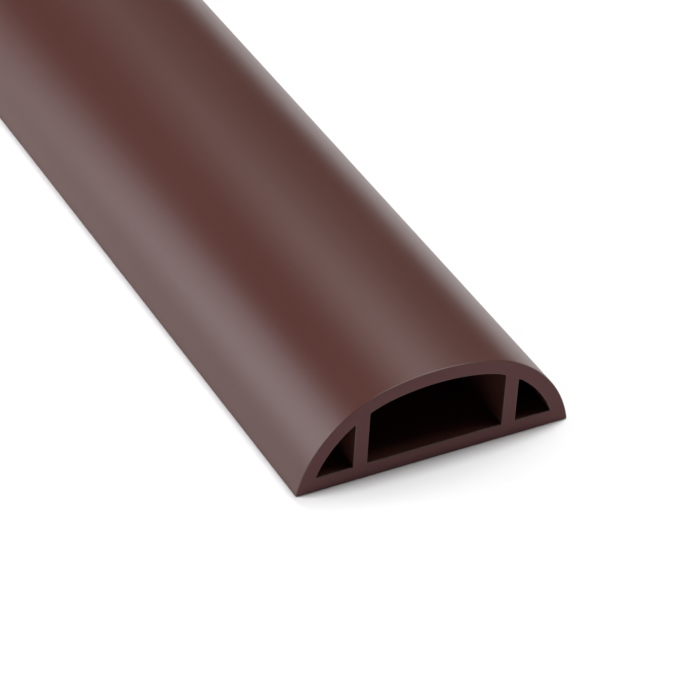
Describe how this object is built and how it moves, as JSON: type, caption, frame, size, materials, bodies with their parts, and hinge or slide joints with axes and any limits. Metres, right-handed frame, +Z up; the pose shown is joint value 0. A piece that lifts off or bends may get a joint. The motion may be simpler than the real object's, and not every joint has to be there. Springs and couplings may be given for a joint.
{
  "type": "floor cord cover",
  "caption": "Low domed cover of soft brown PVC that lies over cords on a floor, with a middle cord channel, a small side channel in each flank and a flat underside.",
  "frame": {"origin": "centre of the flat underside, halfway along the length", "axes": "+Y along the length, away from the end that the picture shows; +X across the width; +Z up to the crown"},
  "size_m": [0.0508, 1.219, 0.018],
  "materials": {
    "soft_brown_pvc": "satin"
  },
  "bodies": {
    "root": {"cord_cover": "soft_brown_pvc"}
  },
  "joints": []
}
